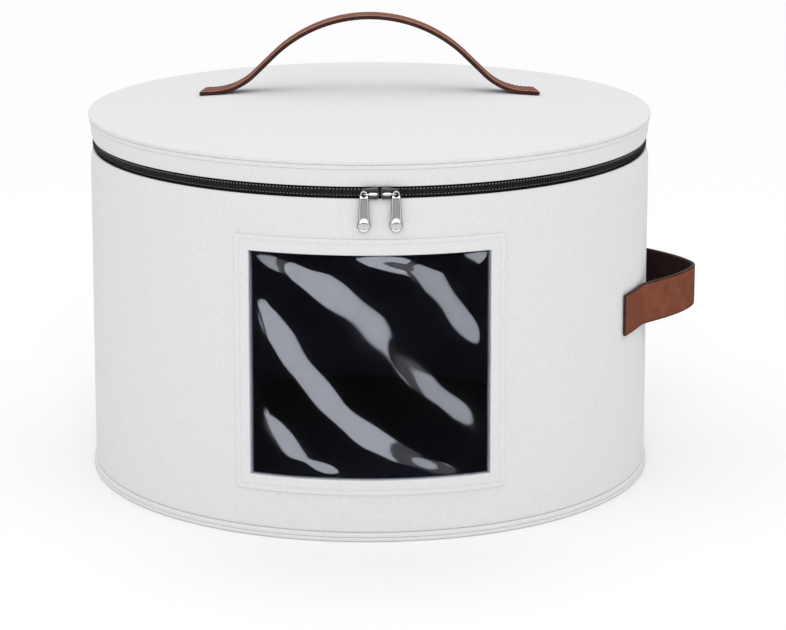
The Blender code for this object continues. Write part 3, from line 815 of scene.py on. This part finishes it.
def make_zip_stops():
    """A bent metal clip over the tape's edge past the last tooth on each side."""
    outside = WALL_TOP_RADIUS - 0.0016
    inside = WALL_TOP_RADIUS - BOARD_DEPTH + 0.0001
    top, foot, wall = ZIP_HEIGHT - 0.0006, ZIP_HEIGHT - 0.0031, 0.0005
    outline = [(inside + 0.0003, foot), (outside - wall, foot)]
    outline += arc_points((outside - 0.0004, foot + 0.0004), 0.0004, -90, 0, 4)
    outline += arc_points((outside - 0.0006, top - 0.0006), 0.0006, 0, 90, 5)
    outline += [(inside + 0.0003, top), (inside, top - 0.0002), (inside, foot + 0.0003)]
    for side, sign in (("left", -1), ("right", 1)):
        bearing = sign * (STOP_BEARING + math.radians(0.9))
        half = math.radians(0.29)
        stop = turned("metal_zip_stop_" + side, outline, NICKEL_LOOK, bearing - half, bearing + half, 6)
        settle(stop, BOX, "zip_metal", "zip_stop_" + side)


# ---------------------------------------------------------------- leather straps

def path_reader(points, across):
    """A function of the distance from the path's middle, giving the point and outward normal there."""
    places = np.array([tuple(p) for p in points])
    lengths = np.concatenate([[0], np.cumsum(np.linalg.norm(np.diff(places, axis=0), axis=1))])
    lengths -= lengths[-1] / 2

    def at(distance):
        return Vector([float(np.interp(distance, lengths, places[:, k])) for k in range(3)])

    def read(distance):
        step = 0.0006
        inside = min(max(distance, lengths[0] + step), lengths[-1] - step)
        along = (at(inside + step) - at(inside - step)).normalized()
        beyond = distance - min(max(distance, lengths[0]), lengths[-1])
        return at(distance) + along * beyond, along.cross(across)

    return read, float(lengths[-1] * 2)


FACE, EDGE, BACK, RIDGE = 0, 1, 2, 3        # a strap's looks, in its material order


def strap_section(thick):
    """Half a strap's section from the middle of the face, over the edge, to the middle of the back.
    Each point is (share of the half width, metres from the edge, height, look of the next face)."""
    deep = thick / 2
    return [(0.0, None, deep + 0.00005, FACE), (0.5, None, deep + 0.00004, FACE),
            (None, 0.0022, deep, FACE), (None, 0.0017, deep - 0.00018, FACE),
            # the ridge faces between the crease and the edge take the handle's painted highlight
            (None, 0.0012, deep, RIDGE), (None, 0.0007, deep - 0.00004, RIDGE),
            (None, 0.0002, deep - 0.00035, EDGE), (None, 0.0, deep - 0.0008, EDGE),
            (None, 0.00006, 0.0001, EDGE), (None, 0.00016, 0.0, EDGE),
            (None, 0.00006, -0.0001, EDGE), (None, 0.0, 0.0008 - deep, EDGE),
            (None, 0.0003, 0.0003 - deep, EDGE), (None, 0.0009, -deep, BACK),
            (0.5, None, -deep, BACK), (0.0, None, -deep, BACK)]


def section_points(half, width):
    """The full section at that width, as (across, out) pairs and the look of each following face."""
    right = [((share * width / 2) if share is not None else width / 2 - inset, out, look)
             for share, inset, out, look in half]
    left = [(-w, out) for w, out, _ in reversed(right[1:-1])]
    looks = [look for _, _, look in right[:-1]]
    pairs = [(w, out) for w, out, _ in right] + left
    return pairs, looks + looks[::-1]


def strap(name, read, length, across, width, thick, looks, slant, steps):
    """A strap along a path, with creased and painted edges. slant skews its two ends."""
    pairs, face_looks = section_points(strap_section(thick), width)
    ends = [d / length for d in (0.0, 0.0003, 0.0008)]
    inside = 0.0016 / length
    stations = sorted(set(ends) | {1 - d for d in ends} | set(spread(inside, 1 - inside, steps)))
    verts = []
    for share in stations:
        thin = 0.72 + 0.28 * smooth(min(share, 1 - share) * length / 0.0008)
        for w, out in pairs:
            reach = length - 2 * slant * w / width
            point, normal = read((share - 0.5) * reach)
            verts.append(point + across * w + normal * (out * thin))
    picks = face_looks * (len(stations) - 1) + [EDGE, EDGE]
    return new_piece(name, verts, ring_faces(len(stations), len(pairs)), looks, picks, sharp=50)


ARCH_RADIUS = 0.106
FOOT_RADIUS = 0.049
ARCH_STRAIGHT = 0.021
ARCH_SLOPE = math.radians(44.2)
HANDLE_WIDTH = high("top_handle_arch").y - low("top_handle_arch").y
HANDLE_Y = (high("top_handle_arch").y + low("top_handle_arch").y) / 2
HANDLE_THICK = 0.0033
HANDLE_SLANT = 0.0035


def handle_height(x):
    """Middle of the handle's thickness: feet on the lid, bends, straight runs and an arch."""
    bend = FOOT_RADIUS * math.sin(ARCH_SLOPE)
    bend_rise = FOOT_RADIUS * (1 - math.cos(ARCH_SLOPE))
    span = bend + ARCH_STRAIGHT * math.cos(ARCH_SLOPE) + ARCH_RADIUS * math.sin(ARCH_SLOPE)
    reach = math.hypot(max(abs(x), span), HANDLE_Y - HANDLE_WIDTH / 2)
    seat = lid_height(reach) + GAP + HANDLE_THICK / 2
    away = span - abs(x)
    if away <= 0:
        return seat
    if away <= bend:
        return seat + FOOT_RADIUS - math.sqrt(FOOT_RADIUS ** 2 - away ** 2)
    if away <= bend + ARCH_STRAIGHT * math.cos(ARCH_SLOPE):
        return seat + bend_rise + (away - bend) * math.tan(ARCH_SLOPE)
    rise = bend_rise + ARCH_STRAIGHT * math.sin(ARCH_SLOPE) + ARCH_RADIUS * (1 - math.cos(ARCH_SLOPE))
    return seat + rise - ARCH_RADIUS + math.sqrt(ARCH_RADIUS ** 2 - x ** 2)


def strap_stitches(name, spots, body):
    settle(stitches(name, spots, BROWN_THREAD, 0.0025, 0.00032, 0.0003), body, "leather")


def make_top_handle():
    half = high("handle_foot_right").x
    across = Vector((0, 1, 0))
    points = [Vector((x, HANDLE_Y, handle_height(x))) for x in spread(-half, half, 900)]
    read, length = path_reader(points, across)
    # the fourth look paints a highlight on the ridge beside the crease
    piece = strap("leather_top_handle", read, length, across, HANDLE_WIDTH, HANDLE_THICK,
                  [FACE_LOOK, EDGE_LOOK, BACK_LOOK, RIDGE_HIGHLIGHT_LOOK], HANDLE_SLANT, 200)
    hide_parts("top_handle_arch", "handle_foot_left", "handle_foot_right")
    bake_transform(piece)
    strap_stitches("handle_foot_stitches", foot_stitches(read, length, across), LID)


def foot_stitches(read, length, across):
    """A sewn rectangle on each of the handle's feet."""
    near, far, half, pitch = 0.0045, 0.0235, 0.0073, 0.0031
    spots = []
    for sign in (-1, 1):
        for row in (near, far):
            for k in range(-2, 3):
                w = k * 0.0033
                point, normal = read(sign * (length / 2 - row - HANDLE_SLANT * w / HANDLE_WIDTH))
                spots.append((point + across * w + normal * (HANDLE_THICK / 2), across, normal))
        for w in (-half, half):
            for k in range(6):
                point, normal = read(sign * (length / 2 - 0.0061 - pitch * k))
                spots.append((point + across * w + normal * (HANDLE_THICK / 2),
                              normal.cross(across), normal))
    return spots


STRAP_WIDTH = high("side_strap_loop").z - low("side_strap_loop").z
STRAP_HEIGHT = (high("side_strap_loop").z + low("side_strap_loop").z) / 2
STRAP_THICK = 0.0026
STRAP_END = math.radians(28.5)
STRAP_LEAVES_WALL = math.radians(18.5)
STRAP_TIP_X = 0.2540
STRAP_TIP_TURN = math.radians(15)
STRAP_WALL_PULL = 0.006
STRAP_CREASE_PULL = 0.040


def strap_plan():
    """The side strap's middle line from its front end to its rear end, seen from above."""
    wall = wall_radius(STRAP_HEIGHT - STRAP_WIDTH / 2) + GAP + STRAP_THICK / 2
    on_wall = [Vector((wall * math.cos(a), wall * math.sin(a), 0))
               for a in spread(STRAP_END, STRAP_LEAVES_WALL, 30)]
    leaves, tip = on_wall[-1], Vector((STRAP_TIP_X, 0, 0))
    away = Vector((math.sin(STRAP_LEAVES_WALL), -math.cos(STRAP_LEAVES_WALL), 0))
    near = leaves + away * STRAP_WALL_PULL
    far = tip - Vector((math.sin(STRAP_TIP_TURN), -math.cos(STRAP_TIP_TURN), 0)) * STRAP_CREASE_PULL
    free = [(1 - t) ** 3 * leaves + 3 * t * (1 - t) ** 2 * near
            + 3 * t * t * (1 - t) * far + t ** 3 * tip for t in spread(0, 1, 200)[1:]]
    rear = on_wall + free
    front = [Vector((p.x, -p.y, 0)) for p in rear]
    return front + rear[-2::-1]


def soften(points, rounds):
    """Rounds the plan's crease a little by averaging neighbours, ends held."""
    places = np.array([tuple(p) for p in points])
    for _ in range(rounds):
        places[1:-1] = (places[:-2] + 2 * places[1:-1] + places[2:]) / 4
    return [Vector(p) for p in places]


def make_side_strap():
    across = Vector((0, 0, 1))
    points = [p + across * STRAP_HEIGHT for p in soften(strap_plan(), 150)]
    read, length = path_reader(points, across)
    piece = strap("leather_side_strap", read, length, across, STRAP_WIDTH, STRAP_THICK,
                  [FACE_LOOK, EDGE_LOOK, BACK_LOOK, EDGE_LOOK], 0.0, 220)
    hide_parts("side_strap_loop", "side_strap_root_front", "side_strap_root_rear")
    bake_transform(piece)
    inset, pitch = 0.0032, 0.0032
    spots = []
    for sign in (-1, 1):
        point, normal = read(sign * (length / 2 - inset))
        spots += [(point + across * (k * pitch) + normal * (STRAP_THICK / 2), across, normal)
                  for k in range(-4, 5)]
    strap_stitches("side_strap_stitches", spots, BOX)


# ---------------------------------------------------------------- sliders and pullers

PLATE_FRONT = -low("slider_body_left").y
SLIDER_LIP = ((-0.0055, 0.0030), (-0.0055, 0.0041), (-0.0015, 0.0039), (0.0015, 0.0033),
              (0.0055, 0.0031), (0.0055, 0.0023), (0.0015, 0.0025), (-0.0018, 0.0031))


def extruded(name, outline, near, far, bevel, turn):
    """A dark metal plate standing in the XZ plane from y = near to y = far, with rounded edges."""
    bm = bmesh.new()
    face = bm.faces.new([bm.verts.new((x, near, z)) for x, z in outline])
    grown = bmesh.ops.extrude_face_region(bm, geom=[face])
    moved = [g for g in grown["geom"] if isinstance(g, bmesh.types.BMVert)]
    bmesh.ops.translate(bm, vec=(0, far - near, 0), verts=moved)
    rim = [e for e in bm.edges if abs(e.verts[0].co.y - e.verts[1].co.y) < 1e-7]
    bmesh.ops.bevel(bm, geom=rim, offset=bevel, segments=3, profile=0.5,
                    affect="EDGES", clamp_overlap=True)
    bm.transform(turn)
    mesh = bpy.data.meshes.new(name)
    mesh.materials.append(DARK_NICKEL_LOOK)
    return finish_mesh(name, bm, mesh, 35)


def shield(outward):
    """A slider plate's outline: broad and lobed where the teeth part, narrower where they close."""
    half_long, broad, narrow = 0.0066, 0.0044, 0.0034
    upper = [(-half_long, 0.0), (-half_long + 0.0003, 0.0014), (-half_long + 0.0004, 0.0030),
             (-half_long + 0.0010, broad - 0.0003), (-half_long + 0.0022, broad),
             (-0.0014, broad - 0.0002), (0.0012, narrow + 0.0004), (half_long - 0.0014, narrow),
             (half_long - 0.0004, narrow - 0.0009), (half_long, 0.0012)]
    lower = [(x, -z) for x, z in reversed(upper[1:])]
    return [(outward * x, ZIP_HEIGHT + z) for x, z in upper + lower]


def make_slider(side):
    outward = -1 if side == "left" else 1
    plate_node, bail_node = "slider_body_" + side, "slider_bail_" + side
    middle = (low(plate_node) + high(plate_node)) / 2
    bearing = math.atan2(middle.x, -middle.y)
    turn = Matrix.Rotation(bearing, 4, "Z")
    body, front = "slider_" + side, -PLATE_FRONT
    plate = extruded("metal_slider_body_" + side, shield(outward), front, front + 0.0011, 0.0004, turn)
    settle(plate, body, "zip_metal", plate_node)
    for sign, place in ((-1, "lower"), (1, "upper")):
        lip = [(outward * x, ZIP_HEIGHT + sign * z) for x, z in SLIDER_LIP]
        flange = extruded(f"metal_slider_lip_{side}_{place}", lip,
                          front + 0.0009, front + 0.0019, 0.0002, turn)
        settle(flange, body, "zip_metal")
    make_bridge(side, outward, front, turn, body, bail_node)
    make_puller(side, bearing)


def bridge_width(distance):
    """Width of the bail at that distance past its middle, slim at the puller's eye and at its leg."""
    clear_of_eye = smooth((0.0021 - distance) / 0.0014)
    clear_of_leg = smooth((0.0052 + distance) / 0.0022)
    return 0.0006 + 0.0017 * min(clear_of_eye, clear_of_leg)


def make_bridge(side, outward, front, turn, body, node):
    """The arched bar that the puller hangs from, broad in the middle and slim at its legs."""
    outer_leg, inner_leg, reach, bend = 0.0043, -0.0058, 0.0039, 0.0013
    quarter = spread(0, math.pi / 2, 8)
    plan = [(inner_leg, front + 0.0003)]
    plan += [(inner_leg + bend - bend * math.cos(a), front - reach + bend - bend * math.sin(a))
             for a in quarter]
    plan += [(outer_leg - bend + bend * math.sin(a), front - reach + bend - bend * math.cos(a))
             for a in quarter]
    plan += [(outer_leg, front + 0.0003)]
    points = [turn @ Vector((outward * x, y, ZIP_HEIGHT)) for x, y in plan]
    across = Vector((0, 0, float(outward)))
    read, length = path_reader(points, across)
    steps, corners, half_deep = 60, 12, 0.00042
    section = [(math.cos(a), math.sin(a)) for a in spread(0, FULL_TURN, corners)[:-1]]
    verts = []
    for share in spread(-0.5, 0.5, steps):
        point, normal = read(share * length)
        for c, s in section:
            wide = math.copysign(abs(c) ** 0.6, c) * bridge_width(share * length) / 2
            deep = math.copysign(abs(s) ** 0.75, s) * half_deep
            verts.append(point + across * wide + normal * deep)
    bridge = new_piece("metal_slider_bridge_" + side, verts, ring_faces(steps + 1, corners),
                       [NICKEL_LOOK], sharp=60)
    settle(bridge, body, "zip_metal", node)


EYE_RADIUS = 0.0030
EYE_HOLE = 0.0019
EYE_DROP = 0.0007
DISC_RADIUS = 0.0047
PULLER_HALF = 0.0005
RIM_WIDE = 0.0010
EDGE_SHADE_WIDTH = 0.0004               # width of the painted shade along a puller's rounded edge
ARM_TOP = -0.0012              # heights below the pivot: arm, rims and recess begin
RIMS_TOP = -0.0016
RECESS_TOP = -0.0034
PULLER_ROWS, PULLER_COLUMNS = 96, 28
POLISHED, BRUSHED, DARK = 0, 1, 2    # a puller's looks, in its material order


def puller_half_width(z, end_z):
    """Half width of the puller at height z below its pivot: eye, tapered arm and round end."""
    eye = EYE_RADIUS ** 2 - (z + EYE_DROP) ** 2
    disc = DISC_RADIUS ** 2 - (z - end_z) ** 2
    arm = 0.0
    if end_z < z < ARM_TOP:
        arm = 0.0031 + 0.0009 * (z - ARM_TOP) / (end_z - ARM_TOP)
    return max(0.00008, math.sqrt(max(0.0, eye)), math.sqrt(max(0.0, disc)), arm)


def puller_face(x, z, half_width, end_z):
    """How far the puller's front stands out of its middle layer: raised rims, a recess and a disc."""
    from_edge = half_width - abs(x)
    rounded = math.sqrt(max(0.0, 1 - (1 - min(max(from_edge, 0) / 0.00045, 1)) ** 2))
    to_disc = math.hypot(x, z - end_z)
    if to_disc < DISC_RADIUS:
        dome = 0.00042 * (1 - (to_disc / DISC_RADIUS) ** 2)
        groove = 0.00022 * math.exp(-((to_disc - 0.0036) / 0.00028) ** 2)
        return (PULLER_HALF + 0.00018 + dome - groove) * rounded
    recess = smooth((from_edge - RIM_WIDE) / 0.0003) * smooth((RECESS_TOP - z) / 0.0005)
    raised = 0.00030 * smooth((RIMS_TOP - z) / 0.0012)
    return (PULLER_HALF + raised - 0.00048 * recess) * rounded


def puller_vertices(tip, end_z):
    """The puller's front grid and then its back grid, with the pivot at the origin."""
    top = EYE_RADIUS - EYE_DROP
    front, back = [], []
    for i in range(PULLER_ROWS + 1):
        share = 0.5 - 0.5 * math.cos(math.pi * i / PULLER_ROWS)
        z = top - 0.00004 + (tip - top + 0.00008) * share
        half = puller_half_width(z, end_z)
        for j in range(PULLER_COLUMNS + 1):
            x = half * math.sin(math.pi * (j / PULLER_COLUMNS - 0.5))
            edge = abs(x) > half * 0.999
            front.append(Vector((x, -puller_face(x, z, half, end_z), z)))
            back.append(Vector((x, PULLER_HALF * (0.0 if edge else 0.8), z)))
    return front + back


def puller_look(x, z, end_z):
    """A painted shade along the rounded edge, a brushed recess in the arm and polished metal elsewhere.
    """
    from_edge = puller_half_width(z, end_z) - abs(x)
    if from_edge < EDGE_SHADE_WIDTH:
        return DARK
    in_arm = z < RECESS_TOP and math.hypot(x, z - end_z) > DISC_RADIUS
    return BRUSHED if in_arm and from_edge > RIM_WIDE + 0.0001 else POLISHED


def puller_faces(verts, end_z):
    """The grids' faces and the walls between them, with the look of each."""
    rows, columns = PULLER_ROWS, PULLER_COLUMNS
    faces, looks = [], []

    def at(i, j, back):
        return i * (columns + 1) + j + (len(verts) // 2 if back else 0)

    for i in range(rows):
        for j in range(columns):
            x = (verts[at(i, j, False)].x + verts[at(i, j + 1, False)].x) / 2
            for back, ring in ((False, ((i, j), (i, j + 1), (i + 1, j + 1), (i + 1, j))),
                               (True, ((i, j), (i + 1, j), (i + 1, j + 1), (i, j + 1)))):
                faces.append(tuple(at(*corner, back) for corner in ring))
            looks += [puller_look(x, verts[at(i, 0, False)].z, end_z), DARK]
    # the side walls take the dark look as painted edge shade too
    for i in range(rows):
        for j in (0, columns):
            faces.append((at(i, j, False), at(i + 1, j, False), at(i + 1, j, True), at(i, j, True)))
            looks.append(DARK)
    for i in (0, rows):
        for j in range(columns):
            faces.append((at(i, j, False), at(i, j + 1, False), at(i, j + 1, True), at(i, j, True)))
            looks.append(POLISHED)
    return faces, looks


def make_puller(side, bearing):
    node = "puller_" + side
    tip = low(node).z - ZIP_HEIGHT
    end_z = tip + DISC_RADIUS
    verts = puller_vertices(tip, end_z)
    faces, looks = puller_faces(verts, end_z)
    place = Matrix.Translation(joint_at(node + "_lift")) @ Matrix.Rotation(bearing, 4, "Z")
    tab = new_piece("metal_puller_" + side, [place @ v for v in verts], faces,
                    [NICKEL_LOOK, BRUSHED_LOOK, DARK_NICKEL_LOOK], looks, sharp=50)
    cut_eye(tab, place)
    settle(tab, node, "zip_metal", node)


def cut_eye(tab, place):
    """Takes the eye's round hole out of the puller and applies the cut."""
    bm = bmesh.new()
    bmesh.ops.create_cone(bm, cap_ends=True, segments=40,
                          radius1=EYE_HOLE, radius2=EYE_HOLE, depth=0.006)
    bm.transform(place @ Matrix.Translation((0, 0, -EYE_DROP))
                 @ Matrix.Rotation(math.radians(90), 4, "X"))
    mesh = bpy.data.meshes.new("eye_hole")
    bm.to_mesh(mesh)
    bm.free()
    cutter = show("eye_hole", mesh)
    cut = tab.modifiers.new("eye", "BOOLEAN")
    cut.operation, cut.solver, cut.object = "DIFFERENCE", "EXACT", cutter
    graph = bpy.context.evaluated_depsgraph_get()
    tab.data = bpy.data.meshes.new_from_object(tab.evaluated_get(graph))
    tab.modifiers.clear()
    bpy.data.objects.remove(cutter)


# ---------------------------------------------------------------- stage, light and camera

def make_stage():
    """A white floor that the film and the metal don't mirror."""
    bpy.ops.mesh.primitive_plane_add(size=60, location=(0, 0, -0.0002))
    floor = bpy.context.object
    floor.name = "studio_floor"
    look = new_material("studio_floor_paint", (0.97, 0.97, 0.97), 0.9, Specular_IOR_Level=0.0)
    floor.data.materials.append(look)
    floor.visible_glossy = False
    floor.visible_transmission = False


def make_world():
    """A studio dome that is brightest overhead and dark below the horizon."""
    world = bpy.data.worlds.new("studio")
    bpy.context.scene.world = world
    world.use_nodes = True
    nodes, links = world.node_tree.nodes, world.node_tree.links
    place = nodes.new("ShaderNodeTexCoord")
    split = nodes.new("ShaderNodeSeparateXYZ")
    ramp = nodes.new("ShaderNodeValToRGB")
    links.new(place.outputs["Generated"], split.inputs["Vector"])
    spread_z = nodes.new("ShaderNodeMapRange")
    spread_z.inputs["From Min"].default_value = -1.0
    links.new(split.outputs["Z"], spread_z.inputs["Value"])
    links.new(spread_z.outputs["Result"], ramp.inputs["Fac"])
    stops = ((0.0, 0.015), (0.495, 0.02), (0.505, 0.45), (0.62, 0.53), (1.0, 1.13))
    elements = ramp.color_ramp.elements
    elements[0].position, elements[1].position = stops[0][0], stops[-1][0]
    for position, _ in stops[1:-1]:
        elements.new(position)
    for element, (_, level) in zip(elements, stops):
        element.color = (level, level, level * 1.01, 1.0)
    background = nodes["Background"]
    links.new(ramp.outputs["Color"], background.inputs["Color"])
    background.inputs["Strength"].default_value = 1.15


def add_softbox(name, azimuth, elevation, distance, size, level, tint=(1, 1, 1), seen_by=None):
    """A rectangular light facing the box from that direction, with that radiance. With seen_by,
    a collection, it is a reflector card that only those pieces catch."""
    light = bpy.data.lights.new(name, "AREA")
    light.shape = "RECTANGLE"
    light.size, light.size_y = size
    light.energy = level * math.pi * size[0] * size[1]
    light.color = tint
    holder = show(name, light)
    a, e = math.radians(azimuth), math.radians(elevation)
    target = Vector((0, 0, BODY_HEIGHT / 2))
    away = Vector((math.sin(a) * math.cos(e), -math.cos(a) * math.cos(e), math.sin(e)))
    holder.location = target + away * distance
    holder.rotation_euler = away.to_track_quat("Z", "Y").to_euler()
    holder.visible_camera = False
    if seen_by:
        holder.light_linking.receiver_collection = seen_by
    return holder


def shiny_pieces(name, prefixes):
    """A collection of the pieces whose names start so, for a reflector card."""
    found = bpy.data.collections.new(name)
    for piece in bpy.data.objects:
        if piece.type == "MESH" and piece.name.startswith(prefixes):
            found.objects.link(piece)
    return found


def make_lights():
    cool, far = (0.87, 0.90, 1.0), 2.6
    add_softbox("key_softbox", 0, 34, far, (0.8, 0.5), 6.0)
    film = shiny_pieces("film_pieces", ("clear_window_film",))
    for place, azimuth, level in (("left", -56, 2.9), ("front", 0, 4.0), ("right", 56, 3.2)):
        add_softbox("film_card_" + place, azimuth, 10, far, (2.2, 1.1), level, cool, film)
    metal = shiny_pieces("metal_pieces", ("metal_",))
    add_softbox("metal_card_front", 0, 12, far, (2.6, 0.9), 2.0, seen_by=metal)
    low_card = add_softbox("metal_card_floor", 0, 0, 1.0, (3.0, 1.7), 0.75, seen_by=metal)
    low_card.location = (0, -1.25, 0.003)
    low_card.rotation_euler = (math.pi, 0, 0)


def make_camera():
    """The photo's view: a long lens from in front, looking a little down."""
    camera = bpy.data.cameras.new("photo_angle")
    camera.sensor_width = 36.0
    camera.lens = 130.67
    camera.clip_end = 200.0
    holder = show("photo_angle", camera)
    holder.location = (0, -2.170, 0.665)
    holder.rotation_euler = (math.radians(90 - 14.26), 0, -0.0083)
    bpy.context.scene.camera = holder


def finish_cad_nodes():
    """The hidden boards stay as CAD nodes and get their pulp board look."""
    for node in ("wall_board", "base_board", "lid_board"):
        piece = frame["nodes"][node]
        piece.data.materials.clear()
        piece.data.materials.append(BOARD_LOOK)


def build():
    make_wall()
    make_wall_lining()
    make_window_frame()
    make_window_stitches()
    make_film()
    make_base()
    make_lid()
    make_lid_linings()
    make_hinge_cloth()
    make_zip_half(-1, BOX, "lower")
    make_zip_half(1, LID, "upper")
    make_zip_stops()
    make_top_handle()
    make_side_strap()
    for side in ("left", "right"):
        make_slider(side)
    finish_cad_nodes()
    make_stage()
    make_world()
    make_lights()
    make_camera()
    bpy.context.scene.view_settings.view_transform = "Standard"


build()
